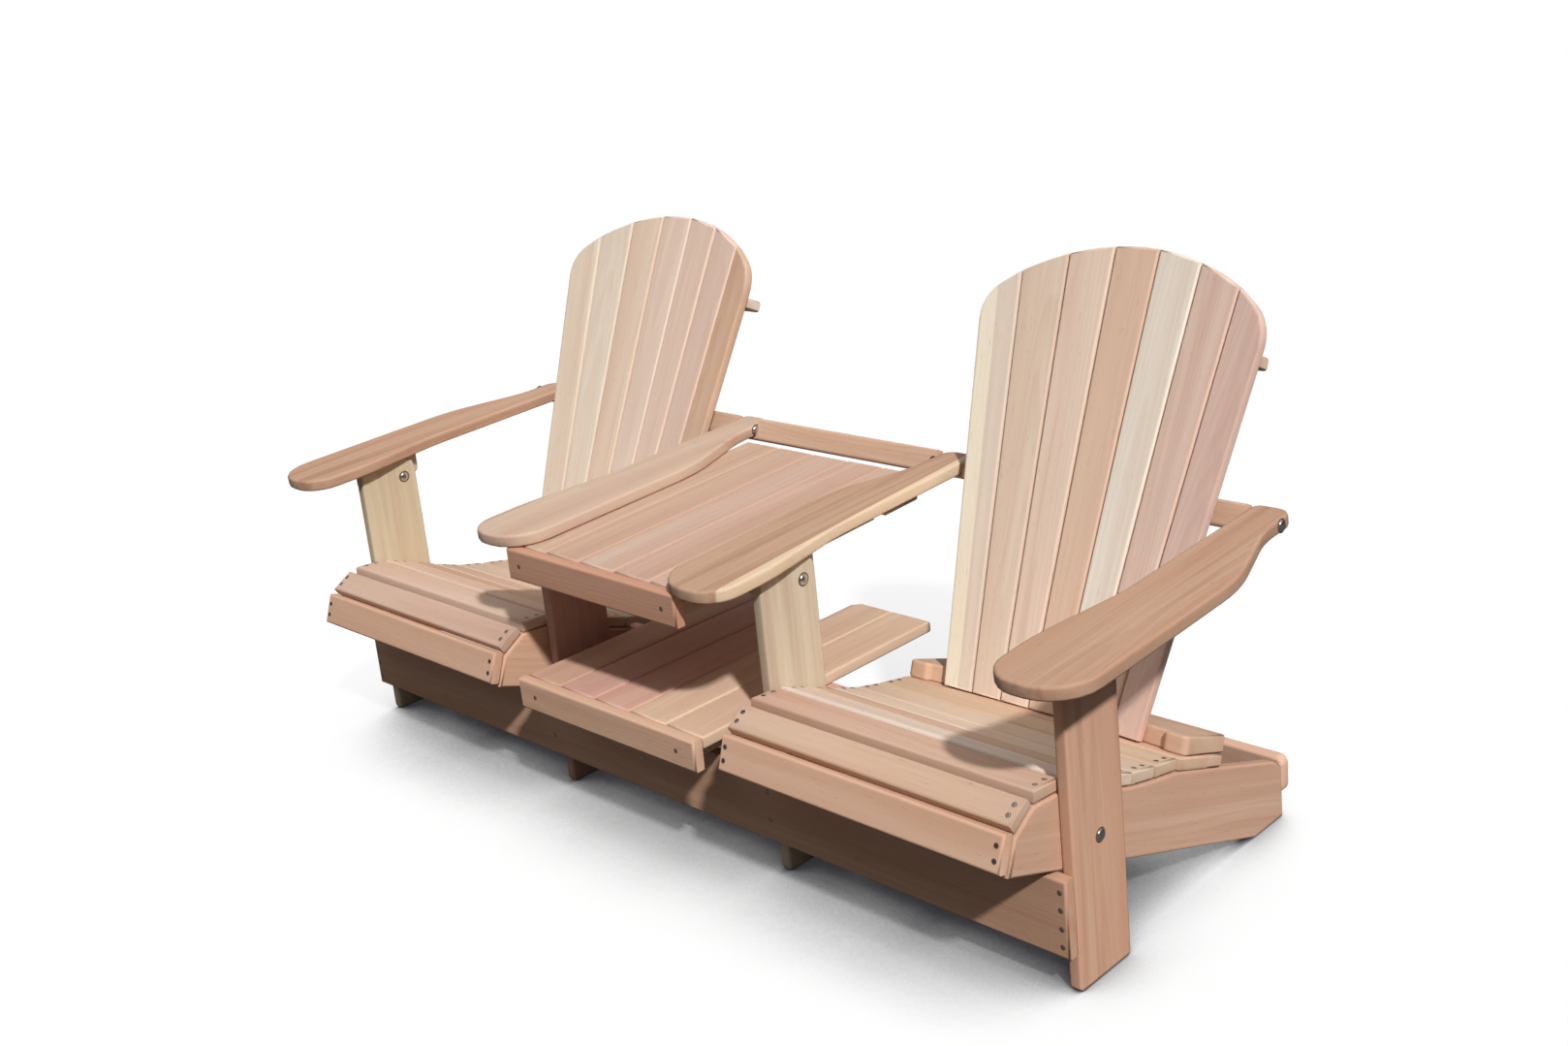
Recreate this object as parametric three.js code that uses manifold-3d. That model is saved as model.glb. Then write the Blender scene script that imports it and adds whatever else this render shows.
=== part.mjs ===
import * as THREE from 'three';
import { mergeVertices } from 'three/addons/utils/BufferGeometryUtils.js';
import Module from 'manifold-3d';

// Double adirondack seat in red cedar: two fan-backed seats joined by a table and a low shelf.
// Millimetres. X runs to the right as seen from the front, Y to the rear, Z up.
// Inside this file Y is zero on the front edges of the legs.

// Stock
const boardThickness = 24;
const boardWidth = 133;
const edgeRound = 5;
const roundSteps = 2;
const cornerSteps = 6;
const fitGap = 0.3;
const bond = 0.2;
const overrun = 30;

// Seats
const seatSpacing = 1244;
const seatInside = 607;
const seatSlatLength = 600;

// Legs
const legFootRadius = 8;
const legTopRadius = 26;
const cleatHeight = 50;
const cleatBehindLeg = 22;
const cleatFront = 12;
const cleatCorner = 14;

// Arms, which rise a little to the rear
const armRise = 0.0528;
const armFront = -128;
const armUnderside = 546.2;
const armInside = 303;
const armLength = 712;
const armFlare = 28;
const armFlareFront = 138;
const armFlareRear = 318;
const armFlareRadius = 400;
const armNoseInnerRadius = 60;
const armNoseOuterRadius = 80;
const armTailInset = 60;
const armBend = 171;
const armBendRadius = 300;
const armNeck = 97;
const armNeckRadius = 200;
const armTailRadius = 30;
const armTailInnerRadius = 16;

// Side rails, which also are the rear feet
const railSlope = 0.37;
const railBottom = 202.1;
const railNoseBottom = -121;
const railNoseTop = -101;
const railNoseTopHeight = 304;
const railPeak = -54;
const railPeakHeight = 333;
const railRear = 643;
const railRearRadius = 45;
const seatFallShares = [0.08, 0.39, 0.44, 0.37, 0.25, 0.21];

// Seat slats
const slatGap = 4;
const frontSlatHeight = 61;
const frontSlatLap = 7;
const noseSlatWidth = 51;
const noseSlatLift = 4;
const seatSlatWidth = 60.8;

// Apron and rear stretchers
const stretcherHeight = 70;
const stretcherBottom = 40;
const stretcherRadius = 16;

// Blocks that hold the feet of the back slats
const blockShelfDepth = 92;
const blockDepth = 133;
const hornSetback = 14;
const hornThickness = 33;
const hornSocket = 43;
const backFootSetback = 45;
const backFootSlack = 3.5;
const hornCornerRadius = 12;

// Fan backs
const recline = THREE.MathUtils.degToRad(25.4);
const backHollowRadius = 1475;
const backThickness = 21;
const fanCount = 7;
const fanFootWidth = 60.6;
const fanTopWidth = 95;
const edgeSlatFootWidth = 61;
const edgeSlatTopWidth = 84;
const fanGap = 3;
const backLength = 841.5;
const archRadius = 455;
const archSteps = 3;
const archPasses = 12;
const shoulderRadius = 80;
const battenDepth = 26;
const battenRise = 650;
const battenLength = 554;
const battenSteps = 14;

// Rail that ties the arms together behind the backs
const armRailHeight = 46;
const armRailRise = 378;
const armRailOverhang = 42;
const armRailEndRadius = 22;

// Table top between the seats, screwed up under the inner arms
const tableLap = 54;
const tableBoards = 5;
const tableGap = 4;
const tableDepth = 603;
const tableFrontInset = 5;
const tableFrontHeight = 60;
const tableFrontSetback = 8;
const tableRunnerHeight = 36;
const tableRunnerInset = 28;
const tableCleatWidth = 92;
const tableCleatInset = 16;

// Shelf below the table
const shelfHeight = 285;
const shelfWidth = 496;
const shelfBoards = 5;
const shelfGap = 3;
const shelfFront = -127;
const shelfRear = 490;
const shelfMiddleRear = 350;
const shelfFrontHeight = 58;
const shelfClip = 16;
const shelfCleatHeight = 60;
const shelfFrontCleat = 54;
const shelfRearCleat = 196;
const shelfRunnerInset = 32;

// Cedar tones
const cedarTones = [0xd9b896, 0xcfa582, 0xe0c5a2, 0xc99b7a, 0xd4ae8c];
const cedarRoughness = 0.75;

const wasm = await Module();
wasm.setup();

const halfInside = seatInside / 2;
const railSlant = Math.atan(railSlope);
const armSlant = Math.atan(armRise);
const tableWidth = seatSpacing - 2 * (armInside + boardWidth - tableLap);
const tableFrontWidth = tableWidth - 2 * tableFrontInset;
const [blockFront, bedEndHeight] = seatBed().at(-1);

// Shapes

function cornerPoints(before, corner, after) {
  const [x, y, radius] = corner;
  const point = new THREE.Vector2(x, y);
  if (!radius) return [point];
  const toBefore = new THREE.Vector2(before[0], before[1]).sub(point).normalize();
  const toAfter = new THREE.Vector2(after[0], after[1]).sub(point).normalize();
  const half = Math.acos(toBefore.dot(toAfter)) / 2;
  const centre = toBefore.clone().add(toAfter).setLength(radius / Math.sin(half)).add(point);
  const start = toBefore.clone().multiplyScalar(radius / Math.tan(half)).add(point).sub(centre);
  const end = toAfter.clone().multiplyScalar(radius / Math.tan(half)).add(point).sub(centre);
  const clockwise = toBefore.cross(toAfter) > 0;
  const arc = new THREE.EllipseCurve(
    centre.x, centre.y, radius, radius, start.angle(), end.angle(), clockwise);
  return arc.getPoints(cornerSteps);
}

// A corner is [x, y, radius]; the radius may be left out for a sharp one.
function outline(corners) {
  const points = corners.flatMap((corner, i) => {
    const before = corners.at(i - 1);
    const after = corners[(i + 1) % corners.length];
    return cornerPoints(before, corner, after);
  });
  return new THREE.Shape(points);
}

// A board is its face outline, raised by its thickness, with both faces' edges rounded over.
function board(corners, thickness = boardThickness, round = edgeRound) {
  const geometry = new THREE.ExtrudeGeometry(outline(corners), {
    depth: thickness - 2 * round,
    bevelThickness: round,
    bevelSize: round,
    bevelOffset: -round,
    bevelSegments: roundSteps,
  });
  geometry.translate(0, 0, round);
  return geometry;
}

function rectangle(left, bottom, right, top, radius = 0) {
  return [
    [left, bottom, radius],
    [right, bottom, radius],
    [right, top, radius],
    [left, top, radius],
  ];
}

// Turns a board so that its outline lies in Y and Z and its thickness runs along X.
function onEdge(geometry) {
  const turn = new THREE.Matrix4().makeBasis(
    new THREE.Vector3(0, 1, 0), new THREE.Vector3(0, 0, 1), new THREE.Vector3(1, 0, 0));
  return geometry.applyMatrix4(turn);
}

// Turns a board so that its outline lies in X and Z and its thickness comes forward.
function upright(geometry) {
  return geometry.rotateX(Math.PI / 2);
}

// Solids

function solidOf(geometry) {
  const bare = geometry.clone();
  bare.deleteAttribute('normal');
  bare.deleteAttribute('uv');
  const merged = mergeVertices(bare);
  return new wasm.Manifold(new wasm.Mesh({
    numProp: 3,
    vertProperties: new Float32Array(merged.attributes.position.array),
    triVerts: new Uint32Array(merged.index.array),
  }));
}

function geometryOf(solid) {
  const mesh = solid.getMesh();
  const geometry = new THREE.BufferGeometry();
  geometry.setAttribute('position', new THREE.BufferAttribute(mesh.vertProperties, 3));
  geometry.setIndex(new THREE.BufferAttribute(mesh.triVerts, 1));
  geometry.computeVertexNormals();
  return geometry;
}

function joined(...geometries) {
  const solids = geometries.map(solidOf);
  return geometryOf(solids.reduce((whole, solid) => whole.add(solid)));
}

function cut(geometry, ...cutters) {
  const solids = cutters.map(solidOf);
  return geometryOf(solids.reduce((whole, solid) => whole.subtract(solid), solidOf(geometry)));
}

// Pieces

let pieceCount = 0;

function cedar() {
  const tone = cedarTones[pieceCount % cedarTones.length];
  pieceCount += 1;
  return new THREE.MeshStandardMaterial({ color: tone, roughness: cedarRoughness, metalness: 0 });
}

function piece(name, geometry, parent, x = 0, y = 0, z = 0) {
  const mesh = new THREE.Mesh(geometry, cedar());
  mesh.name = name;
  mesh.position.set(x, y, z);
  parent.add(mesh);
  return mesh;
}

function tilted(parent, y, z, angle) {
  const group = new THREE.Group();
  group.position.set(0, y, z);
  group.rotation.x = angle;
  parent.add(group);
  return group;
}

// Height of the arms' undersides above the floor at a place along Y.
function armUndersideAt(y) {
  return armUnderside + (y - armFront) * armRise;
}

function railBottomAt(y) {
  return railBottom - y * railSlope;
}

// Corners of a rail's top as [y, z], from the peak back: each slat of the seat has its flat bed.
function seatBed() {
  let [y, z] = [railPeak, railPeakHeight];
  const corners = [[y, z]];
  for (const fall of seatFallShares) {
    const run = (seatSlatWidth + slatGap) / Math.hypot(1, fall);
    y += run;
    z -= run * fall;
    corners.push([y, z]);
  }
  return corners;
}

function railRearTopAt(y) {
  return bedEndHeight - (y - blockFront) * railSlope;
}

// Legs: upright boards on edge, each with a cleat high on its outer face to carry the arm.

function legCorners() {
  return [
    [0, 0, legFootRadius],
    [boardWidth, 0, legFootRadius],
    [boardWidth, armUndersideAt(boardWidth) - fitGap, legTopRadius],
    [0, armUndersideAt(0) - fitGap],
  ];
}

function cleatCorners() {
  const rear = boardWidth + cleatBehindLeg;
  const frontTop = armUndersideAt(cleatFront) - fitGap;
  const rearTop = armUndersideAt(rear) - fitGap;
  return [
    [cleatFront, frontTop - cleatHeight, cleatCorner],
    [rear, rearTop - cleatHeight, cleatCorner],
    [rear, rearTop],
    [cleatFront, frontTop],
  ];
}

function legWithCleat(hand) {
  const leg = onEdge(board(legCorners()));
  const cleat = onEdge(board(cleatCorners()));
  cleat.translate(hand * (boardThickness - bond), 0, 0);
  return joined(leg, cleat);
}

function addLegs(seat, names) {
  for (const hand of [-1, 1]) {
    const x = hand > 0 ? halfInside : -halfInside - boardThickness;
    piece(`${names(hand)}_leg`, legWithCleat(hand), seat, x);
  }
}

// Side rails: the seat rests in the hollow on top, and the low end stands on the floor.

function railCorners() {
  const corners = [
    [railNoseTop, railNoseTopHeight],
    [railNoseBottom, railBottomAt(railNoseBottom)],
    [railBottom / railSlope, 0],
    [railRear, 0],
    [railRear, railRearTopAt(railRear), railRearRadius],
  ];
  return [...corners, ...seatBed().reverse()];
}

function addSideRails(seat, names) {
  for (const hand of [-1, 1]) {
    const x = hand > 0 ? halfInside - boardThickness : -halfInside;
    piece(`${names(hand)}_side_rail`, onEdge(board(railCorners())), seat, x);
  }
}

// Seat slats: one on the nose, one on the slanted top of the nose, and six in the hollow.

function seatSlat(width) {
  const half = seatSlatLength / 2;
  return board(rectangle(-half, 0, half, width));
}

function addFrontSlats(seat, side) {
  const noseRise = railNoseTopHeight - railBottomAt(railNoseBottom);
  const noseRun = railNoseTop - railNoseBottom;
  const nose = tilted(seat, railNoseTop, railNoseTopHeight, Math.atan2(noseRise, noseRun));
  const low = frontSlatLap - frontSlatHeight;
  piece(`${side}_seat_slat_1`, seatSlat(frontSlatHeight), nose, 0, low, fitGap);
  const lean = Math.atan2(railPeakHeight - railNoseTopHeight, railPeak - railNoseTop);
  const slope = tilted(seat, railNoseTop, railNoseTopHeight, lean);
  piece(`${side}_seat_slat_2`, seatSlat(noseSlatWidth), slope, 0, noseSlatLift, fitGap);
}

function addSeatSlats(seat, side) {
  addFrontSlats(seat, side);
  seatFallShares.forEach((fall, i) => {
    const [y, z] = seatBed()[i];
    const bed = tilted(seat, y, z, -Math.atan(fall));
    piece(`${side}_seat_slat_${i + 3}`, seatSlat(seatSlatWidth), bed, 0, slatGap / 2, fitGap);
  });
}

// Foot block: a board across both rails with a horned block on it that boxes in the back slats.

function footBlock() {
  const end = halfInside;
  const socket = fanCount * fanFootWidth / 2 + hornSocket;
  const back = backFootSetback + backFootSlack;
  const shelf = board(rectangle(-end, 0, end, blockShelfDepth));
  const heel = board(rectangle(-end, blockShelfDepth - edgeRound * 2, end, blockDepth));
  const corners = [
    [end, hornSetback, hornCornerRadius],
    [end, blockDepth],
    [-end, blockDepth],
    [-end, hornSetback, hornCornerRadius],
    [-socket, hornSetback, hornCornerRadius],
  ];
  for (const [x, forward] of hollowArc(socket)) corners.push([x, back - forward]);
  corners.push([socket, hornSetback, hornCornerRadius]);
  const horns = board(corners, hornThickness);
  horns.translate(0, 0, boardThickness - bond);
  return joined(shelf, heel, horns);
}

function addFootBlock(seat, side) {
  const bed = tilted(seat, blockFront, railRearTopAt(blockFront), -railSlant);
  piece(`${side}_back_foot_block`, footBlock(), bed, 0, 0, fitGap);
}

// Place of the back's foot on the block, as [y, z], at the rear faces of the slats.
function backFoot() {
  const rise = boardThickness + 2 * fitGap;
  const along = backFootSetback;
  const y = blockFront + along * Math.cos(railSlant) + rise * Math.sin(railSlant);
  const z = railRearTopAt(blockFront) - along * Math.sin(railSlant) + rise * Math.cos(railSlant);
  return [y, z];
}

function backPlane(parent) {
  const [y, z] = backFoot();
  return tilted(parent, y, z, Math.PI / 2 - recline);
}

// How far the hollow of the back brings a place at x forward.
function hollowAt(x) {
  return x ** 2 / 2 / backHollowRadius;
}

function hollowArc(half) {
  const points = [];
  for (let i = 0; i <= battenSteps; i += 1) {
    const x = THREE.MathUtils.lerp(-half, half, i / battenSteps);
    points.push([x, hollowAt(x)]);
  }
  return points;
}

// Fan back: all slats taper alike, so their edges are rays from one point below the seat.

function fanRay(index, height) {
  const taper = (fanTopWidth - fanFootWidth) / 2 / backLength;
  const apex = fanFootWidth / 2 / taper;
  return Math.tan(2 * index * Math.atan(taper)) * (apex + height);
}

function archAt(x) {
  return backLength - archRadius + Math.sqrt(archRadius ** 2 - x ** 2);
}

// Line between two slats, or the outer edge of the back, whose last slats are ripped narrower.
function slatEdge(index, height) {
  const outermost = fanCount / 2;
  if (Math.abs(index) < outermost) return fanRay(index, height);
  const hand = Math.sign(index);
  const width = THREE.MathUtils.lerp(edgeSlatFootWidth, edgeSlatTopWidth, height / backLength);
  return fanRay(index - hand, height) + hand * width;
}

// Where a slat's edge meets the arch.
function edgeTop(index, inset) {
  let height = backLength;
  for (let i = 0; i < archPasses; i += 1) {
    height = archAt(slatEdge(index, height) + inset);
  }
  return [slatEdge(index, height) + inset, height];
}

function fanSlatCorners(index) {
  const inset = fanGap / 2;
  const last = (fanCount - 1) / 2;
  const [leftX, leftTop] = edgeTop(index - 1 / 2, inset);
  const [rightX, rightTop] = edgeTop(index + 1 / 2, -inset);
  const corners = [
    [slatEdge(index - 1 / 2, 0) + inset, 0],
    [slatEdge(index + 1 / 2, 0) - inset, 0],
    [rightX, rightTop, index === last ? shoulderRadius : 0],
  ];
  const steps = Math.abs(index) === last ? 1 : archSteps;
  for (let i = 1; i < steps; i += 1) {
    const x = THREE.MathUtils.lerp(rightX, leftX, i / steps);
    corners.push([x, archAt(x)]);
  }
  corners.push([leftX, leftTop, index === -last ? shoulderRadius : 0]);
  return corners;
}

// Lays a flat slat on the hollow of the back.
function fanSlat(index) {
  const geometry = board(fanSlatCorners(index), backThickness);
  const position = geometry.attributes.position;
  for (let i = 0; i < position.count; i += 1) {
    position.setZ(i, position.getZ(i) + hollowAt(position.getX(i)));
  }
  return geometry;
}

// The batten stands out behind the slats, with its front edge cut to the hollow.
function batten() {
  const half = battenLength / 2;
  const corners = [...hollowArc(half), [half, -battenDepth], [-half, -battenDepth]];
  const geometry = upright(board(corners));
  return geometry.translate(0, battenRise + boardThickness, 0);
}

function centreSlatWithBatten() {
  const slat = fanSlat(0);
  const strip = batten();
  slat.translate(0, 0, -fitGap - bond);
  strip.translate(0, 0, -fitGap);
  return joined(slat, strip);
}

function addBack(seat, side) {
  const back = backPlane(seat);
  const last = (fanCount - 1) / 2;
  for (let index = -last; index <= last; index += 1) {
    const geometry = index === 0 ? centreSlatWithBatten() : fanSlat(index);
    piece(`${side}_back_slat_${index + last + 1}`, geometry, back);
  }
}

// Arms: flat boards, widest at the round nose, drawn in behind the seat to a narrow tail.

function armCorners(hand) {
  const outside = armInside + boardWidth;
  const tail = outside - armTailInset;
  const flared = armInside - armFlare;
  const neck = armLength - armNeck;
  const corners = [
    [flared, 0, armNoseInnerRadius],
    [outside, 0, armNoseOuterRadius],
    [outside, neck - armBend, armBendRadius],
    [tail, neck, armNeckRadius],
    [tail, armLength, armTailRadius],
    [armInside, armLength, armTailInnerRadius],
    [armInside, armFlareRear, armFlareRadius],
    [flared, armFlareFront, armFlareRadius],
  ];
  return corners.map(([x, y, radius]) => [hand * x, y, radius]);
}

function armPlane(parent) {
  return tilted(parent, armFront, armUnderside, armSlant);
}

function addArms(seat, names) {
  const plane = armPlane(seat);
  for (const hand of [-1, 1]) {
    piece(`${names(hand)}_arm`, board(armCorners(hand)), plane);
  }
}

// Arm rail: one long board behind both backs, housed for the tails of the four arms.

// Block that clears one arm's tail, in the frame of the whole part.
function tailHousing(x, hand) {
  const outside = armInside + boardWidth - armTailInset;
  const width = outside - armInside + 2 * fitGap;
  const height = boardThickness + overrun;
  const depth = armLength;
  const block = new THREE.BoxGeometry(width, depth, height);
  block.translate(hand * (armInside + outside) / 2, depth / 2 + overrun, height / 2 - fitGap);
  block.rotateX(armSlant);
  block.translate(x, armFront, armUnderside);
  return block;
}

function armRail() {
  const half = seatSpacing / 2 + armInside + armRailOverhang;
  const corners = rectangle(-half, 0, half, armRailHeight, armRailEndRadius);
  const rail = board(corners);
  rail.translate(0, armRailRise, -2 * fitGap - bond - boardThickness);
  const [y, z] = backFoot();
  const housings = [];
  for (const side of [-1, 1]) {
    for (const hand of [-1, 1]) {
      const block = tailHousing(side * seatSpacing / 2, hand);
      block.translate(0, -y, -z);
      block.rotateX(recline - Math.PI / 2);
      housings.push(block);
    }
  }
  return cut(rail, ...housings);
}

// Table: five boards under the inner arms, with a front board, two runners and a rear cleat.

function boardEdges(width, count, gap, index) {
  const each = (width - gap * (count - 1)) / count;
  const left = -width / 2 + index * (each + gap);
  return [left, left + each];
}

function tableBoard(index) {
  const [left, right] = boardEdges(tableWidth, tableBoards, tableGap, index);
  const start = tableFrontSetback + boardThickness + fitGap;
  const slat = board(rectangle(left, start, right, start + tableDepth));
  const under = -boardThickness - fitGap;
  const middle = (tableBoards - 1) / 2;
  const cleatEnd = start + tableDepth - tableCleatInset;
  const cleatStart = cleatEnd - tableCleatWidth;
  if (index === middle) {
    const half = tableWidth / 2;
    const cleat = board(rectangle(-half, cleatStart, half, cleatEnd));
    slat.translate(0, 0, -fitGap - bond);
    cleat.translate(0, 0, under);
    return joined(slat, cleat);
  }
  if (Math.abs(index - middle) === middle) {
    const hand = Math.sign(index - middle);
    const outer = hand * (tableWidth / 2 - tableRunnerInset);
    const inner = outer - hand * boardThickness;
    const x = Math.min(outer, inner);
    const runner = onEdge(board(rectangle(start, -tableRunnerHeight, cleatStart - fitGap, bond)));
    runner.translate(x, 0, 0);
    return joined(slat, runner);
  }
  return slat;
}

function addTable(part) {
  const plane = armPlane(part);
  for (let index = 0; index < tableBoards; index += 1) {
    piece(`table_board_${index + 1}`, tableBoard(index), plane, 0, 0, -boardThickness - fitGap);
  }
  const front = armFront + tableFrontSetback;
  const top = armUndersideAt(front) - fitGap;
  const half = tableFrontWidth / 2;
  const face = upright(board(rectangle(-half, top - tableFrontHeight, half, top)));
  piece('table_front_board', face, part, 0, front + boardThickness);
}

// Shelf: five level boards on two cross cleats fixed between the inner legs and rails.

function shelfBoardCorners(index) {
  const [left, right] = boardEdges(shelfWidth, shelfBoards, shelfGap, index);
  const start = shelfFront + boardThickness;
  const middle = (shelfBoards - 1) / 2;
  const rear = index === middle ? shelfMiddleRear : shelfRear;
  const corners = rectangle(left, start, right, rear);
  if (index === middle - 1) corners.splice(2, 1, [right, rear - shelfClip], [right - shelfClip, rear]);
  if (index === middle + 1) corners.splice(3, 1, [left + shelfClip, rear], [left, rear - shelfClip]);
  return corners;
}

function shelfCleat(y, half) {
  const cleat = upright(board(rectangle(-half, -shelfCleatHeight, half, 0)));
  return cleat.translate(0, y + boardThickness, -boardThickness - fitGap);
}

function shelfMiddle() {
  const slat = board(shelfBoardCorners((shelfBoards - 1) / 2));
  slat.translate(0, 0, -boardThickness - fitGap - bond);
  const legFace = seatSpacing / 2 - halfInside - boardThickness;
  const railFace = seatSpacing / 2 - halfInside;
  return joined(slat, shelfCleat(shelfFrontCleat, legFace), shelfCleat(shelfRearCleat, railFace));
}

function shelfEdgeBoard(index) {
  const slat = board(shelfBoardCorners(index));
  slat.translate(0, 0, -boardThickness);
  const hand = Math.sign(index - 1);
  const outer = hand * (shelfWidth / 2 - shelfRunnerInset);
  const x = Math.min(outer, outer - hand * boardThickness);
  const depth = boardThickness + shelfFrontHeight / 2;
  const start = shelfFront + boardThickness;
  const runner = onEdge(board(rectangle(start, -depth, shelfFrontCleat - fitGap, bond - boardThickness)));
  runner.translate(x, 0, 0);
  return joined(slat, runner);
}

function addShelf(part) {
  for (let index = 0; index < shelfBoards; index += 1) {
    const middle = (shelfBoards - 1) / 2;
    let geometry = board(shelfBoardCorners(index)).translate(0, 0, -boardThickness);
    if (index === middle) geometry = shelfMiddle();
    if (Math.abs(index - middle) === middle) geometry = shelfEdgeBoard(index);
    piece(`shelf_board_${index + 1}`, geometry, part, 0, 0, shelfHeight);
  }
  const half = shelfWidth / 2;
  const face = upright(board(rectangle(-half, -shelfFrontHeight, half, 0)));
  piece('shelf_front_board', face, part, 0, shelfFront + boardThickness, shelfHeight);
}

// Apron and rear stretchers

function addApron(part) {
  const half = seatSpacing / 2 + halfInside + boardThickness;
  const top = railBottomAt(0) - fitGap;
  const face = upright(board(rectangle(-half, top - boardWidth, half, top)));
  piece('front_apron', face, part);
}

function addStretcher(seat, side) {
  const top = stretcherBottom + stretcherHeight;
  const corners = rectangle(-halfInside, stretcherBottom, halfInside, top, stretcherRadius);
  piece(`${side}_rear_stretcher`, upright(board(corners)), seat, 0, railRear + boardThickness);
}

// Whole

function addSeat(part, side) {
  const sideName = side > 0 ? 'right' : 'left';
  const names = (hand) => `${sideName}_${hand === side ? 'outer' : 'inner'}`;
  const seat = new THREE.Group();
  seat.position.x = side * seatSpacing / 2;
  part.add(seat);
  addLegs(seat, names);
  addSideRails(seat, names);
  addSeatSlats(seat, sideName);
  addFootBlock(seat, sideName);
  addBack(seat, sideName);
  addArms(seat, names);
  addStretcher(seat, sideName);
}

const part = new THREE.Group();
addApron(part);
addSeat(part, -1);
addSeat(part, 1);
piece('arm_rail', armRail(), backPlane(part));
addTable(part);
addShelf(part);

// The origin is on the floor below the middle of the whole.
part.updateMatrixWorld(true);
const extent = new THREE.Box3().setFromObject(part, true);
part.position.y = -(extent.min.y + extent.max.y) / 2;

export default part;
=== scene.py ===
import math

import bmesh
import bpy
from mathutils import Matrix, Vector


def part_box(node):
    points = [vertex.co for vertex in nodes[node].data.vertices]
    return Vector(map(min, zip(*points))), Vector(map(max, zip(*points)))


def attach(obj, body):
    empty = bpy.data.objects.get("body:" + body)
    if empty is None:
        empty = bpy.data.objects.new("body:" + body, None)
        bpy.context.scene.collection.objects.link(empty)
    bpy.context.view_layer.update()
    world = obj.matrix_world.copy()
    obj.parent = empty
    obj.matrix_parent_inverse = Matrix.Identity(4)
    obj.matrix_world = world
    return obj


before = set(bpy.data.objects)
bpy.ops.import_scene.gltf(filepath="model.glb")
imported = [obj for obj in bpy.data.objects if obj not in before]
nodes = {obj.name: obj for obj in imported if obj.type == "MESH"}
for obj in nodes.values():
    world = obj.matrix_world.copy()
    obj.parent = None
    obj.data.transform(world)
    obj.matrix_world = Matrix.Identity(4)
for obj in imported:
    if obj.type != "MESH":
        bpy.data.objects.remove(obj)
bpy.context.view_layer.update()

# Setting: a plain pale floor in a pale room that is brighter overhead than along the ground,
# one lamp high on the right in front, and a camera to the right in front, above the backs.

# The apron's rear face lies on the front edges of the legs. Camera and bolts are placed from it.
leg_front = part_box("front_apron")[1].y
camera_place = Vector((2.3781, leg_front - 1.8208, 1.5726))
camera_yaw = 0.7584
camera_pitch = -0.2687
camera_roll = -0.0871
camera_lens = 39.82
camera_shift = (-0.0673, -0.0695)
camera_forward = Vector((
    -math.sin(camera_yaw) * math.cos(camera_pitch),
    math.cos(camera_yaw) * math.cos(camera_pitch),
    math.sin(camera_pitch)))
level_right = Vector((math.cos(camera_yaw), math.sin(camera_yaw), 0))
level_up = level_right.cross(camera_forward)
camera_right = math.cos(camera_roll) * level_right + math.sin(camera_roll) * level_up
camera_up = math.cos(camera_roll) * level_up - math.sin(camera_roll) * level_right
camera_data = bpy.data.cameras.new("camera")
camera_data.sensor_width = 36
camera_data.lens = camera_lens
camera_data.shift_x, camera_data.shift_y = camera_shift
camera_data.clip_end = 200
camera = bpy.data.objects.new("camera", camera_data)
bpy.context.scene.collection.objects.link(camera)
camera_turn = Matrix((camera_right, camera_up, -camera_forward)).transposed()
camera.matrix_world = Matrix.Translation(camera_place) @ camera_turn.to_4x4()
bpy.context.scene.camera = camera
bpy.context.scene.view_settings.view_transform = "Standard"

lamp_from = Vector((0.65, -0.33, 0.69)).normalized()
lamp_strength = 3.3
lamp_softness = math.radians(3)
lamp_data = bpy.data.lights.new("soft_lamp", "SUN")
lamp_data.energy = lamp_strength
lamp_data.angle = lamp_softness
lamp_data.color = (1.0, 0.985, 0.965)
lamp = bpy.data.objects.new("soft_lamp", lamp_data)
lamp.rotation_mode = "QUATERNION"
lamp.rotation_quaternion = lamp_from.to_track_quat("Z", "Y")
bpy.context.scene.collection.objects.link(lamp)


class Finish:
    """A tree of shader nodes, added one after another."""

    def __init__(self, tree):
        self.tree = tree

    def join(self, value, socket):
        """Sets a socket to a number or a colour, or links another node to it."""
        if isinstance(value, bpy.types.NodeSocket):
            self.tree.links.new(value, socket)
        else:
            socket.default_value = value

    def add(self, kind, operation=None, **values):
        """Adds a node. Its inputs are given by name, or as i0, i1 and so on by number."""
        node = self.tree.nodes.new("ShaderNode" + kind)
        if operation:
            node.operation = operation
        for key, value in values.items():
            numbered = key[0] == "i" and key[1:].isdigit()
            self.join(value, node.inputs[int(key[1:]) if numbered else key.replace("_", " ")])
        return node

    def math(self, operation, first, second=0.0, third=0.0):
        return self.add("Math", operation, i0=first, i1=second, i2=third).outputs[0]

    def noise(self, place, size, detail=2.0, roughness=0.5):
        return self.add("TexNoise", Vector=place, Scale=size, Detail=detail,
                        Roughness=roughness).outputs["Fac"]

    def ramp(self, value, low, high):
        node = self.add("MapRange", Value=value, From_Min=low, From_Max=high)
        node.interpolation_type = "SMOOTHSTEP"
        return node.outputs["Result"]

    def mix(self, kind, share, first, second):
        """Mixes two colours or two vectors, whose sockets have other numbers in each kind."""
        node = self.tree.nodes.new("ShaderNodeMix")
        node.data_type = kind
        first_socket, second_socket, result = {"RGBA": (6, 7, 2), "VECTOR": (4, 5, 1)}[kind]
        self.join(share, node.inputs[0])
        self.join(first, node.inputs[first_socket])
        self.join(second, node.inputs[second_socket])
        return node.outputs[result]

    def tint(self, colour, toward, share, strength):
        """Draws a colour toward another one."""
        return self.mix("RGBA", self.math("MULTIPLY", share, strength), colour, toward)


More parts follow.
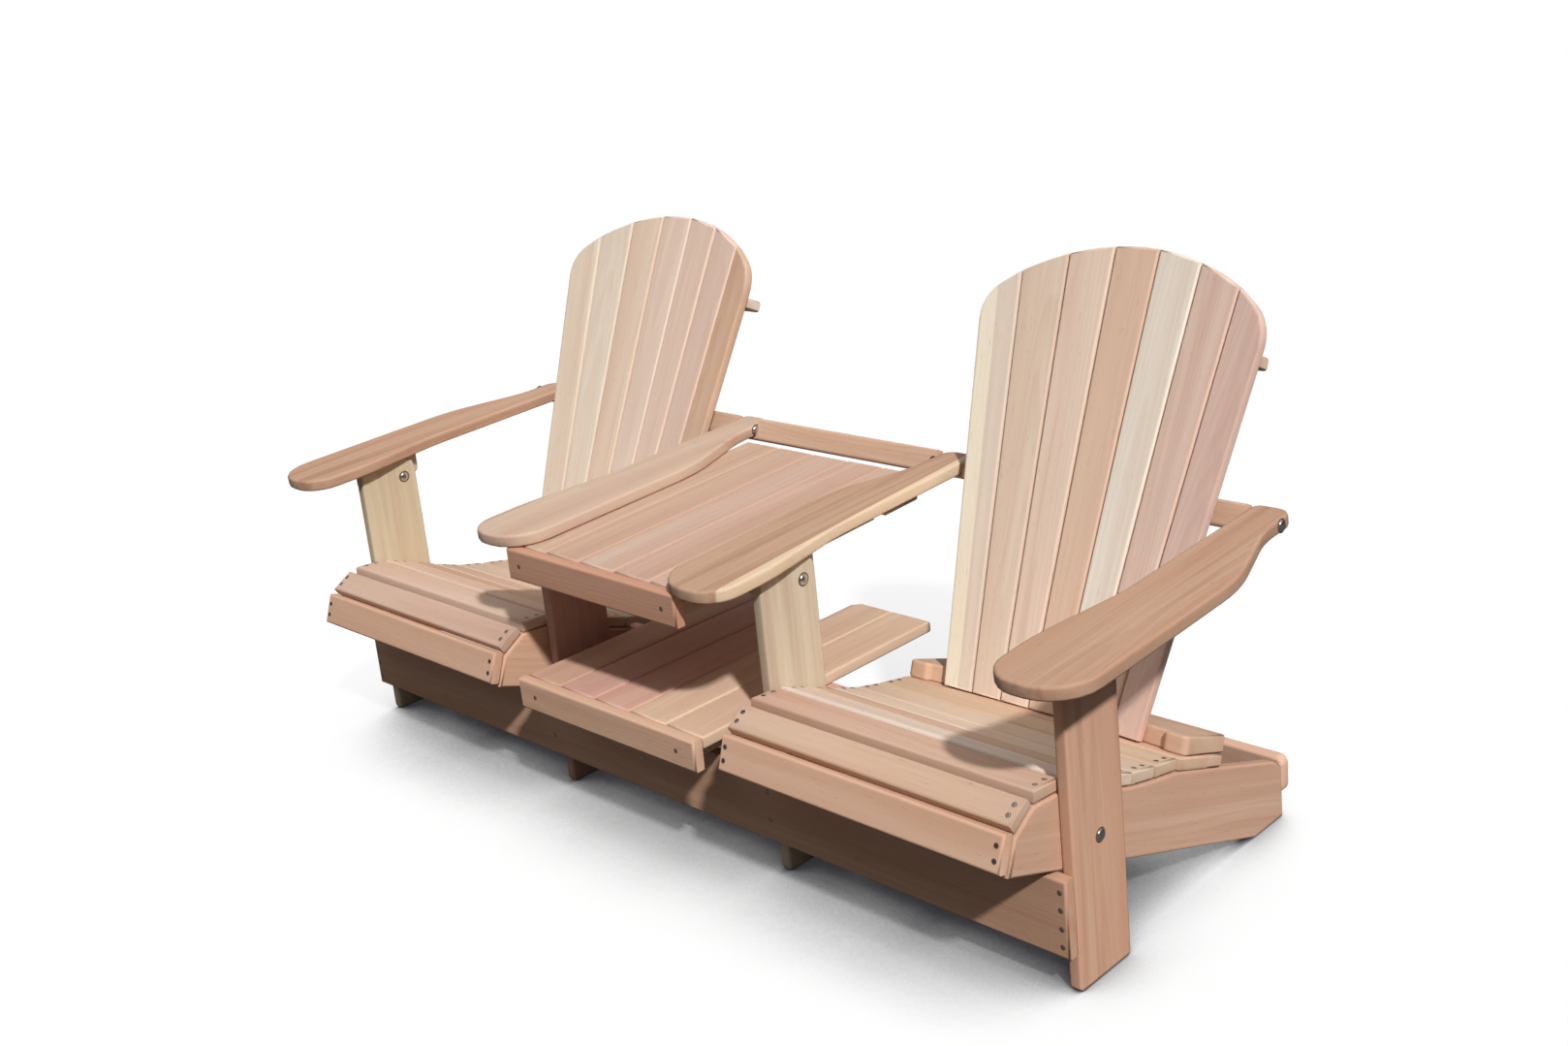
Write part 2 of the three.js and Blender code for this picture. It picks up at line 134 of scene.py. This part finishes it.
def new_finish(name):
    """A new material, its tree of nodes and its shader."""
    material = bpy.data.materials.new(name)
    material.use_nodes = True
    return material, Finish(material.node_tree), material.node_tree.nodes["Principled BSDF"]


room_light_low = 0.04
room_light_high = 0.74
room_brighter_from = 0.25
white = (1, 1, 1, 1)
world = bpy.data.worlds.new("room")
world.use_nodes = True
bpy.context.scene.world = world
room = Finish(world.node_tree)
room.tree.nodes.clear()
overhead = room.add("SeparateXYZ", Vector=room.add("TexCoord").outputs["Generated"]).outputs["Z"]
room_light = room.add("MapRange", Value=overhead, From_Min=room_brighter_from,
                      To_Min=room_light_low, To_Max=room_light_high).outputs["Result"]
lit_room = room.add("Background", Color=(0.98, 0.985, 1.0, 1), Strength=room_light).outputs[0]
white_room = room.add("Background", Color=white, Strength=1).outputs[0]
mixed_room = room.add("MixShader", i0=room.add("LightPath").outputs["Is Camera Ray"],
                      i1=lit_room, i2=white_room).outputs[0]
room.add("OutputWorld", Surface=mixed_room)

floor_half = 60
floor_drop = 0.0005
floor_mesh = bpy.data.meshes.new("floor")
floor_mesh.from_pydata(
    [(-floor_half, -floor_half, 0), (floor_half, -floor_half, 0),
     (floor_half, floor_half, 0), (-floor_half, floor_half, 0)], [], [(0, 1, 2, 3)])
floor = bpy.data.objects.new("floor", floor_mesh)
floor.location.z = -floor_drop
bpy.context.scene.collection.objects.link(floor)
floor_paint, paint, paint_shader = new_finish("floor_paint")
paint_shader.inputs["Roughness"].default_value = 0.9
paint_shader.inputs["Specular IOR Level"].default_value = 0.2
# The floor looks nearly white, and throws only a little light back up.
floor_seen = (0.97, 0.97, 0.97, 1)
floor_bounce = (0.10, 0.098, 0.095, 1)
seen = paint.add("LightPath").outputs["Is Camera Ray"]
paint.join(paint.mix("RGBA", seen, floor_bounce, floor_seen), paint_shader.inputs["Base Color"])
# The lamp's shadow shows faintly near the object and fades out away from it.
shadow_reach = (0.4, 1.6)
shadow_cover = 0.78
distance = paint.add("VectorMath", "LENGTH", i0=paint.add("TexCoord").outputs["Object"])
cover = paint.add("MapRange", Value=distance.outputs["Value"], From_Min=shadow_reach[0],
                  From_Max=shadow_reach[1], To_Min=shadow_cover).outputs["Result"]
# Painted shade: close to the legs and rails the floor's glow is painted darker, softly, where they
# shade it.
corner_reach = 0.42
corner_edges = (0.30, 0.78)
painted_corner_shade = (0.03, 0.03, 0.035, 1)
openness = paint.add("AmbientOcclusion", Distance=corner_reach).outputs["AO"]
glow = paint.add("Emission", Color=paint.mix(
    "RGBA", paint.ramp(openness, *corner_edges), painted_corner_shade, white))
floor_mix = paint.add("MixShader", i0=paint.math("MULTIPLY", cover, seen),
                      i1=paint_shader.outputs[0], i2=glow.outputs[0])
paint.join(floor_mix.outputs[0], paint.tree.nodes["Material Output"].inputs["Surface"])
floor_mesh.materials.append(floor_paint)

# Frame: legs on edge, side rails that run down to the floor, the long apron, the foot blocks
# of the backs and the rear stretchers. Cedar boards, planed, with rounded edges and left
# bare, bolted at the legs and screwed elsewhere.

right_way = Vector((1, 0, 0))
rear_way = Vector((0, 1, 0))
up_way = Vector((0, 0, 1))
sides = ("left", "right")

# Where in the log a board is cut: how far along it, how far beside the pith and how deep.
# The steps spread the boards over these ranges, and a fixed strip is cut somewhere else.
cut_along = 2.37
cut_beside = 0.10
cut_depth = (0.05, 0.12)
cut_steps = (0.618, 0.377)
strip_seed_step = 31
# Each figure of the wood: how often it changes in a metre along the grain and across it,
# its detail and its roughness.
figures = {
    "wander": (1.1, 9, 2.0, 0.5),
    "drift": (0.6, 30, 2.0, 0.5),
    "bands": (0.9, 22, 2.0, 0.5),
    "clouds": (2.2, 7, 2.0, 0.5),
    "streaks": (0.8, 26, 3.0, 0.6),
    "fibres": (9, 520, 3.0, 0.6),
    "sheen": (26, 60, 3.0, 0.6),
    "flecks": (34, 420, 2.0, 0.55),
}
# The levels between which a figure sets in, and how strongly it colours the board.
levels = {"bands": (0.30, 0.70), "clouds": (0.35, 0.75), "streaks": (0.50, 0.66),
          "fibres": (0.42, 0.75), "sheen": (0.60, 0.80), "flecks": (0.66, 0.74)}
strengths = {"clouds": 0.6, "late": 0.15, "fibres": 0.15, "sheen": 0.10, "flecks": 0.34}
plain_streaks = 0.15
# Growth rings in a metre, how far they wander across and through the board, and where in
# each ring the late wood starts and is darkest.
rings_per_metre = 420.0
ring_wander = (0.022, 0.016)
ring_drift = 2.6
late_start = 0.15
late_peak = 0.92
# Steps from the board's own colour to the others in it.
pale_step = (5, 7, 8)
warm_step = (-4, -9, -9)
brown_step = (-34, -46, -48)
dark_step = (-78, -86, -82)
sap_wander = 0.012
sap_fade = 0.004
# Late wood is a little smoother and higher, fibres are rougher and higher, and flecks are pits.
wood_roughness = 0.74
late_roughness = -0.06
fibre_roughness = 0.12
late_height = 0.55
fibre_height = 0.65
fleck_height = -0.6
relief_strength = 0.25
relief_depth = 0.0005


def linear(red, green, blue):
    """A colour as a screen shows it, from 0 to 255, in the measure that the shader takes."""
    return tuple((c / 255 / 12.92 if c < 10.3 else ((c / 255 + 0.055) / 1.055) ** 2.4)
                 for c in (red, green, blue)) + (1,)


def place_along(grain, way):
    """How far a point of the wood lies along a way."""
    spot = grain.add("TexCoord").outputs["Object"]
    return grain.add("VectorMath", "DOT_PRODUCT", i0=spot, i1=way).outputs["Value"]


def board_place(grain, middle, along, across, seed):
    """The place within a board, in metres: along its grain, across it, and through it."""
    place = grain.add("TexCoord").outputs["Object"]
    place = grain.add("VectorMath", "SUBTRACT", i0=place, i1=middle).outputs[0]
    parts = [grain.add("VectorMath", "DOT_PRODUCT", i0=place, i1=axis).outputs["Value"]
             for axis in (along, across, along.cross(across))]
    joined = grain.add("CombineXYZ", X=parts[0], Y=parts[1], Z=parts[2]).outputs[0]
    beside, depth = (seed * step % 1 for step in cut_steps)
    cut = (seed * cut_along, (beside - 0.5) * cut_beside, cut_depth[0] + depth * cut_depth[1])
    return grain.add("VectorMath", "ADD", i0=joined, i1=cut).outputs[0]


def drawn_noise(grain, place, along, across, detail, roughness):
    """Noise that is drawn out along the grain."""
    drawn = grain.add("VectorMath", "MULTIPLY", i0=place, i1=(along, across, across)).outputs[0]
    return grain.noise(drawn, 1.0, detail, roughness)


def cedar_wood(name, tone, seed, middle, along, across, strip, sap, streaks):
    """Bare red cedar for one board.

    tone is its colour as seen, seed picks its place in the log, and its grain runs along one
    way. strip is (limit, way, along, across) for a strip fixed beyond a limit, whose grain
    runs another way. sap is (way, limit, colour) for pale sapwood beyond a limit. streaks is
    the strength of the darker streaks of heartwood."""
    material, grain, shader = new_finish(name)
    place = board_place(grain, middle, along, across, seed)
    if strip:
        limit, way, *strip_ways = strip
        strip_place = board_place(grain, middle, *strip_ways, seed + strip_seed_step)
        beyond = grain.math("GREATER_THAN", place_along(grain, way), limit)
        place = grain.mix("VECTOR", beyond, place, strip_place)
    noises = {figure: drawn_noise(grain, place, *pace) for figure, pace in figures.items()}
    shares = {figure: grain.ramp(noises[figure], *edges) for figure, edges in levels.items()}
    # Growth rings: sheets round a pith that lies beside the board, wandering a little. Each
    # darkens slowly toward its late wood and ends sharply.
    parts = grain.add("SeparateXYZ", Vector=place).outputs
    squares = []
    for part, wander in zip((parts["Y"], parts["Z"]), ring_wander):
        part = grain.math("MULTIPLY_ADD", noises["wander"], wander, part)
        squares.append(grain.math("MULTIPLY", part, part))
    radius = grain.math("SQRT", grain.math("ADD", *squares))
    rings = grain.math("MULTIPLY", radius, rings_per_metre)
    rings = grain.math("MULTIPLY_ADD", noises["drift"], ring_drift, rings)
    ring = grain.math("FRACT", rings)
    late = grain.math("MULTIPLY", grain.ramp(ring, late_start, late_peak),
                      grain.ramp(ring, 1.0, late_peak))
    shares["late"] = late

    pale, plain, warm, brown, dark = (
        linear(*(min(255, part + change) for part, change in zip(tone, step)))
        for step in (pale_step, (0, 0, 0), warm_step, brown_step, dark_step))
    colour = grain.mix("RGBA", shares["bands"], pale, warm)
    colour = grain.tint(colour, plain, shares["clouds"], strengths["clouds"])
    colour = grain.tint(colour, brown, shares["streaks"], streaks)
    if sap:
        # Sapwood: a pale zone along one edge, beyond a line that wanders.
        way, limit, sap_colour = sap
        edge = grain.math("MULTIPLY_ADD", noises["wander"], sap_wander, place_along(grain, way))
        share = grain.ramp(edge, limit, limit + sap_fade)
        colour = grain.mix("RGBA", share, colour, linear(*sap_colour))
    for figure, toward in (("late", brown), ("fibres", brown), ("sheen", brown), ("flecks", dark)):
        colour = grain.tint(colour, toward, shares[figure], strengths[figure])
    grain.join(colour, shader.inputs["Base Color"])

    rough = grain.math("MULTIPLY_ADD", late, late_roughness, wood_roughness)
    rough = grain.math("MULTIPLY_ADD", noises["fibres"], fibre_roughness, rough)
    grain.join(rough, shader.inputs["Roughness"])
    shader.inputs["Specular IOR Level"].default_value = 0.25
    height = grain.math("MULTIPLY", noises["fibres"], fibre_height)
    height = grain.math("MULTIPLY_ADD", late, late_height, height)
    height = grain.math("MULTIPLY_ADD", shares["flecks"], fleck_height, height)
    bump = grain.add("Bump", Strength=relief_strength, Distance=relief_depth, Height=height)
    grain.join(bump.outputs[0], shader.inputs["Normal"])
    return material


def middle_of(name):
    low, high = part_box(name)
    return (low + high) / 2


weld_distance = 0.00002
corner_angle = math.radians(50)
face_weight = 60


def finish_board(name, tone, seed, along, across, strip=None, sap=None, streaks=plain_streaks):
    """Gives a CAD board its own wood, rounded edges that shade smoothly and crisp corners."""
    board = nodes[name]
    board.data.materials.clear()
    board.data.materials.append(cedar_wood(
        name + "_cedar", tone, seed, middle_of(name), along, across, strip, sap, streaks))
    weld = board.modifiers.new("weld", "WELD")
    weld.merge_threshold = weld_distance
    for face in board.data.polygons:
        face.use_smooth = True
    square = board.modifiers.new("square_corners", "EDGE_SPLIT")
    square.split_angle = corner_angle
    square.use_edge_sharp = False
    soft = board.modifiers.new("soft_edges", "WEIGHTED_NORMAL")
    soft.weight = face_weight
    soft.keep_sharp = False


def leg_sides(hand):
    """Where a leg's cleat is, -1 on its left or 1 on its right, and the x of the cleat's face
    and of the leg's bare face."""
    low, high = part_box(hand + "_leg")
    if hand in ("left_outer", "right_inner"):
        return -1, low.x, high.x
    return 1, high.x, low.x


rail_slope = 0.37
rail_way = Vector((0, 1, -rail_slope)).normalized()
rail_up = Vector((0, rail_slope, 1)).normalized()
# The cleat is one solid with its leg, so its own grain starts a hair outside the leg's face.
cleat_thickness = 0.0238
grain_margin = 0.0003
leg_streaks = 0.35
leg_tones = {"left_outer": (207, 192, 164), "left_inner": (198, 159, 143),
             "right_inner": (206, 192, 169), "right_outer": (210, 169, 142)}
rail_tones = {"left_outer": (206, 172, 146), "left_inner": (213, 172, 143),
              "right_inner": (206, 170, 146), "right_outer": (207, 171, 147)}
leg_seed = 40
rail_seed = 45
for i, (hand, tone) in enumerate(leg_tones.items()):
    out, cleat_face, bare_face = leg_sides(hand)
    limit = out * cleat_face - (cleat_thickness - grain_margin)
    cleat = (limit, out * right_way, rear_way, up_way)
    finish_board(hand + "_leg", tone, leg_seed + i, up_way, rear_way, cleat, streaks=leg_streaks)
    finish_board(hand + "_side_rail", rail_tones[hand], rail_seed + i, rail_way, rail_up)

apron_seed = 50
block_seed = 51
stretcher_seed = 53
finish_board("front_apron", (200, 160, 134), apron_seed, right_way, up_way)
for s, side in enumerate(sides):
    finish_board(f"{side}_back_foot_block", (214, 180, 154), block_seed + s, right_way, rear_way)
    finish_board(f"{side}_rear_stretcher", (222, 182, 156), stretcher_seed + s, right_way, up_way)

# Seat slats: eight cedar strips a seat, laid across the hollow of the side rails from the nose
# to the back. Each is held by two small stainless screws at each end.

seat_tones = {
    "left": [(211, 173, 146), (200, 171, 151), (210, 184, 164), (216, 190, 168),
             (206, 174, 150), (210, 182, 160), (214, 190, 168), (206, 178, 154)],
    "right": [(220, 183, 156), (205, 176, 152), (204, 172, 150), (222, 205, 189),
              (208, 180, 156), (222, 202, 181), (212, 189, 167), (207, 181, 153)],
}
seat_slats = 8
seat_seed = 20
for s, side in enumerate(sides):
    for i, tone in enumerate(seat_tones[side]):
        seed = seat_seed + seat_slats * s + i
        finish_board(f"{side}_seat_slat_{i + 1}", tone, seed, right_way, rear_way)

# Back slats: seven tapered cedar boards a seat, set edge to edge like a fan in sockets of the
# foot block and screwed from behind to a batten and the arm rail.

recline = math.radians(25.4)
back_up = Vector((0, math.sin(recline), math.cos(recline)))
back_front = Vector((0, -math.cos(recline), math.sin(recline)))
fan_turn = math.radians(2.35)
back_slats = 7
middle_slat = 3
# The batten is one solid with the middle slat and starts behind the slat's rear face.
slat_half = 0.0125
sap_line = 0.006
sap_tone = (234, 223, 202)
back_tones = {
    "left": [(223, 208, 188), (225, 212, 194), (226, 204, 183), (232, 211, 194),
             (233, 208, 190), (232, 205, 188), (221, 188, 160)],
    "right": [(217, 202, 185), (218, 197, 177), (225, 202, 183), (223, 194, 171),
              (238, 228, 213), (230, 202, 186), (228, 198, 184)],
}
back_seed = 1
for s, side in enumerate(sides):
    for i, tone in enumerate(back_tones[side]):
        name = f"{side}_back_slat_{i + 1}"
        lean = (i - middle_slat) * fan_turn
        along = math.cos(lean) * back_up + math.sin(lean) * right_way
        across = back_front.cross(along)
        batten = None
        if i == middle_slat:
            beside = middle_of(f"{side}_back_slat_{middle_slat}")
            limit = (-back_front).dot(beside) + slat_half
            batten = (limit, -back_front, right_way, back_front)
        sap = None
        if name == "right_back_slat_1":
            sap = (across, across.dot(middle_of(name)) + sap_line, sap_tone)
        finish_board(name, tone, back_seed + back_slats * s + i, along, across, batten, sap)

# Arms and arm rail: wide flat boards with a round nose, drawn in to a narrow tail that is
# bolted to the long rail behind both backs. Cedar, screwed up from the cleats of the legs.

arm_way = Vector((0, 1, 0.0528)).normalized()
arm_tones = {"left_outer": (189, 155, 130), "left_inner": (202, 176, 155),
             "right_inner": (188, 156, 131), "right_outer": (187, 152, 127)}
arm_streaks = 0.45
arm_tail = 0.05
arm_sap_width = 0.014
arm_sap_tone = (222, 198, 168)
arm_seed = 57
arm_rail_seed = 61
for i, (hand, tone) in enumerate(arm_tones.items()):
    sap = None
    if hand == "right_inner":
        # The pale edge runs from the nose to the tail, which is set in from it.
        points = [v.co for v in nodes[hand + "_arm"].data.vertices]
        rear = max(p.y for p in points)
        nose_edge = max(points, key=lambda p: p.x)
        tail_edge = max((p for p in points if p.y > rear - arm_tail), key=lambda p: p.x)
        sap_way = (tail_edge - nose_edge).normalized().cross(up_way).normalized()
        sap = (sap_way, sap_way.dot(nose_edge) - arm_sap_width, arm_sap_tone)
    finish_board(hand + "_arm", tone, arm_seed + i, arm_way, right_way, sap=sap,
                 streaks=arm_streaks)
finish_board("arm_rail", (210, 176, 150), arm_rail_seed, right_way, back_up)

# Table: five boards below the inner arms, a front board, two runners and a rear cleat.
# Cedar, screwed together from below, with two screws through the front board.

table_tones = [(196, 166, 144), (197, 166, 144), (199, 172, 153), (200, 169, 150),
               (200, 170, 150)]
table_streaks = 0.25
table_seed = 63
table_front_seed = 69
for i, tone in enumerate(table_tones):
    finish_board(f"table_board_{i + 1}", tone, table_seed + i, arm_way, right_way,
                 streaks=table_streaks)
finish_board("table_front_board", (200, 154, 128), table_front_seed, right_way, up_way)

# Shelf: five boards on two cross cleats between the inner legs and rails, with a front board
# of the same width. Cedar, screwed down into the cleats.

shelf_tones = [(199, 162, 138), (206, 167, 151), (212, 172, 154), (217, 186, 160),
               (221, 192, 166)]
shelf_seed = 71
shelf_front_seed = 77
for i, tone in enumerate(shelf_tones):
    finish_board(f"shelf_board_{i + 1}", tone, shelf_seed + i, rear_way, right_way)
finish_board("shelf_front_board", (216, 179, 152), shelf_front_seed, right_way, up_way)

# Bolts: stainless carriage bolts with a low domed head drawn into the cedar, set on a ring of
# painted shade that stands for the hole round the head. They go through legs and rails and through
# legs and cleats, with a washer and a hexagon nut on the far side, and through the tails of the
# arms.

steel, metal, steel_shader = new_finish("stainless_steel")
steel_shader.inputs["Metallic"].default_value = 1
smear_size = 160.0
smear_roughness = 0.2
polish = 0.12
dull_steel = (0.54, 0.52, 0.50, 1)
bright_steel = (0.72, 0.70, 0.68, 1)
smear = metal.noise(metal.add("TexCoord").outputs["Object"], smear_size, 3.0, 0.6)
metal.join(metal.mix("RGBA", smear, dull_steel, bright_steel), steel_shader.inputs["Base Color"])
metal.join(metal.math("MULTIPLY_ADD", smear, smear_roughness, polish),
           steel_shader.inputs["Roughness"])


def speckled(name, size, dark, light, roughness):
    """A dull finish with fine specks of two colours."""
    material, specks, shader = new_finish(name)
    share = specks.noise(specks.add("TexCoord").outputs["Object"], size)
    colour = specks.mix("RGBA", share, linear(*dark), linear(*light))
    specks.join(colour, shader.inputs["Base Color"])
    shader.inputs["Roughness"].default_value = roughness
    return material


# Painted shade: a dark speckled finish for the rings round bolt and screw heads, standing for the
# shade in the holes they sit in.
painted_hole_shade = speckled("painted_hole_shade_cedar", 900.0, (70, 46, 33), (116, 82, 60), 0.9)
turned_steps = 24
nut_sides = 6


def turned(shape, profile, place, way, steps=turned_steps, material=0):
    """Adds a turned form to a mesh: profile is a list of (radius, height) along the given way."""
    turn = way.to_track_quat("Z", "Y").to_matrix().to_4x4()
    to_world = Matrix.Translation(place) @ turn
    rows = []
    for radius, height in profile:
        if radius == 0:
            rows.append([shape.verts.new(to_world @ Vector((0, 0, height)))])
            continue
        angles = [2 * math.pi * (k + 0.5) / steps for k in range(steps)]
        rows.append([shape.verts.new(to_world @ Vector((
            radius * math.cos(a), radius * math.sin(a), height))) for a in angles])
    for lower, upper in zip(rows, rows[1:]):
        for k in range(steps):
            n = (k + 1) % steps
            if len(upper) == 1:
                corners = (lower[k], lower[n], upper[0])
            else:
                corners = (lower[k], lower[n], upper[n], upper[k])
            face = shape.faces.new(corners)
            face.material_index = material
            face.smooth = steps == turned_steps


def fittings(name, shape, *materials):
    """Makes one piece of the shape, which rides on the frame."""
    mesh = bpy.data.meshes.new(name)
    bmesh.ops.recalc_face_normals(shape, faces=shape.faces)
    shape.to_mesh(mesh)
    shape.free()
    for material in materials:
        mesh.materials.append(material)
    piece = bpy.data.objects.new(name, mesh)
    bpy.context.scene.collection.objects.link(piece)
    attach(piece, "root")


bolt_dome = [(0.0106, -0.0004), (0.0106, 0.0006), (0.0100, 0.0018), (0.0082, 0.0034),
             (0.0056, 0.0046), (0.0028, 0.0052), (0, 0.0053)]
# The seat round the dome is a ring of painted shade.
bolt_seat = [(0.0128, -0.0004), (0.0126, 0.0002), (0.0100, 0.0003)]
washer = [(0.0095, -0.0003), (0.0095, 0.0014), (0.0092, 0.0016), (0.0042, 0.0016)]
nut = [(0.0074, 0.0014), (0.0075, 0.0072), (0.0068, 0.0078), (0.0040, 0.0078)]
bolt_end = [(0.0039, 0.0020), (0.0039, 0.0100), (0.0033, 0.0106), (0, 0.0106)]


def bolt_head(shape, place, way):
    turned(shape, bolt_dome, place, way)
    turned(shape, bolt_seat, place, way, material=1)


def bolt_through(shape, head, tail, way):
    bolt_head(shape, head, way)
    turned(shape, washer, tail, -way)
    turned(shape, nut, tail, -way, steps=nut_sides)
    turned(shape, bolt_end, tail, -way)


# Each bolt's place from the front edges of the legs, and its height.
lower_bolt = (leg_front + 0.069, 0.238)
upper_bolt = (leg_front + 0.102, 0.517)
tail_bolt = (leg_front + 0.538, 0.594)
rail_thickness = 0.024
seat_centre = 0.622
tail_from_centre = 0.376
for hand in leg_tones:
    out, cleat_face, bare_face = leg_sides(hand)
    shape = bmesh.new()
    y, z = lower_bolt
    bolt_through(shape, Vector((cleat_face - out * cleat_thickness, y, z)),
                 Vector((bare_face - out * rail_thickness, y, z)), out * right_way)
    y, z = upper_bolt
    bolt_through(shape, Vector((bare_face, y, z)), Vector((cleat_face, y, z)), -out * right_way)
    fittings(hand + "_leg_bolts", shape, steel, painted_hole_shade)
    shape = bmesh.new()
    seat_x = -seat_centre if hand.startswith("left") else seat_centre
    y, z = tail_bolt
    bolt_head(shape, Vector((seat_x + out * tail_from_centre, y, z)), out * right_way)
    fittings(hand + "_arm_bolt", shape, steel, painted_hole_shade)

# Screws: small stainless wood screws with a square drive, sunk just under the surface. A ring of
# painted shade round each head stands for its hole, and the drive is painted shade too. They hold
# the seat slats, the rear stretchers, the apron and the front boards, and the back slats from
# behind, through the battens and the arm rail.

# Painted shade: each screw's square drive is a dark raised square that stands for the shade inside
# it.
painted_drive_shade = speckled("screw_drive_painted_shade", 1200.0, (36, 30, 27), (60, 50, 44), 0.6)
screw_rim = [(0.0047, -0.0003), (0.0045, 0.0002), (0.0034, 0.0001)]
screw_head = [(0.0035, -0.0001), (0.0034, 0.0003), (0.0024, 0.0005), (0, 0.0005)]
screw_drive = [(0.0018, 0.0004), (0.0018, 0.0006), (0, 0.0006)]
head_steps = 16
drive_sides = 4
# Faces of a board belong to one flat side if they face the same way on the same level.
same_way = 0.9995
same_level = 0.0002


def screw(shape, place, way):
    turned(shape, screw_rim, place, way, material=1)
    turned(shape, screw_head, place, way, steps=head_steps)
    turned(shape, screw_drive, place, way, steps=drive_sides, material=2)


def flat_side(name, toward, along):
    """The flat side of a board that faces a way: its middle, its ways out and across, and its
    half length and half width."""
    mesh = nodes[name].data
    best = max(mesh.polygons, key=lambda f: f.area * max(0, f.normal.dot(toward)) ** 4)
    way = best.normal.copy()
    level = way.dot(best.center)
    points = [mesh.vertices[v].co for f in mesh.polygons
              if f.normal.dot(way) > same_way and abs(way.dot(f.center) - level) < same_level
              for v in f.vertices]
    across = way.cross(along).normalized()
    length = [p.dot(along) for p in points]
    width = [p.dot(across) for p in points]
    middle = (way * level + along * (min(length) + max(length)) / 2
              + across * (min(width) + max(width)) / 2)
    return middle, way, across, (max(length) - min(length)) / 2, (max(width) - min(width)) / 2


# The two screws at a board's end stand this far from its middle line, as a part of half its width.
screw_spread = 0.45


def end_screws(shape, name, toward, along, from_end):
    """Two screws at each end of a board."""
    middle, way, across, half_length, half_width = flat_side(name, toward, along)
    for end in (-1, 1):
        for edge in (-1, 1):
            place = middle + along * end * (half_length - from_end)
            screw(shape, place + across * edge * screw_spread * half_width, way)


# The first slat stands on edge below the nose, and the others lie on the rails.
slat_from_end = 0.0065
first_slat_way = Vector((0, -1, 0.2))
for side in sides:
    shape = bmesh.new()
    for i in range(seat_slats):
        toward = first_slat_way if i == 0 else up_way
        end_screws(shape, f"{side}_seat_slat_{i + 1}", toward, right_way, slat_from_end)
    fittings(f"{side}_seat_screws", shape, steel, painted_hole_shade, painted_drive_shade)

# Each slat has one screw on its own middle line, at the height of the batten and of the rail.
stretcher_from_end = 0.014
back_rear = -back_front
rear_same_way = 0.99
rear_same_level = 0.0005
for side in sides:
    shape = bmesh.new()
    for name in (f"{side}_back_slat_{middle_slat + 1}", "arm_rail"):
        mesh = nodes[name].data
        facing = [f for f in mesh.polygons if f.normal.dot(back_rear) > rear_same_way]
        level = max(f.center.dot(back_rear) for f in facing)
        heights = [mesh.vertices[v].co.dot(back_up) for f in facing
                   if level - f.center.dot(back_rear) < rear_same_level for v in f.vertices]
        height = (min(heights) + max(heights)) / 2
        for i in range(back_slats):
            centre = middle_of(f"{side}_back_slat_{i + 1}")
            if i == middle_slat:
                centre.y = middle_of(f"{side}_back_slat_{middle_slat}").y
            lean = (i - middle_slat) * fan_turn
            x = centre.x + (height - centre.dot(back_up)) * math.tan(lean)
            screw(shape, right_way * x + back_up * height + back_rear * level, back_rear)
    end_screws(shape, f"{side}_rear_stretcher", rear_way, right_way, stretcher_from_end)
    fittings(f"{side}_rear_screws", shape, steel, painted_hole_shade, painted_drive_shade)

# Screw heights above the lower edge of the apron: four at an outer leg, two at an inner one.
leg_from_centre = 0.3155
outer_leg_screws = (0.020, 0.050, 0.082, 0.112)
inner_leg_screws = (0.042, 0.094)
apron_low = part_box("front_apron")[0]
shape = bmesh.new()
for side in (-1, 1):
    for leg, heights in ((1, outer_leg_screws), (-1, inner_leg_screws)):
        x = side * (seat_centre + leg * leg_from_centre)
        for height in heights:
            screw(shape, Vector((x, apron_low.y, apron_low.z + height)), -rear_way)
fittings("apron_screws", shape, steel, painted_hole_shade, painted_drive_shade)

front_screw_height = 0.030
front_screw_from_centre = 0.200
for name in ("table_front_board", "shelf_front_board"):
    shape = bmesh.new()
    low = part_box(name)[0]
    for x in (-front_screw_from_centre, front_screw_from_centre):
        screw(shape, Vector((x, low.y, low.z + front_screw_height)), -rear_way)
    fittings(name + "_screws", shape, steel, painted_hole_shade, painted_drive_shade)
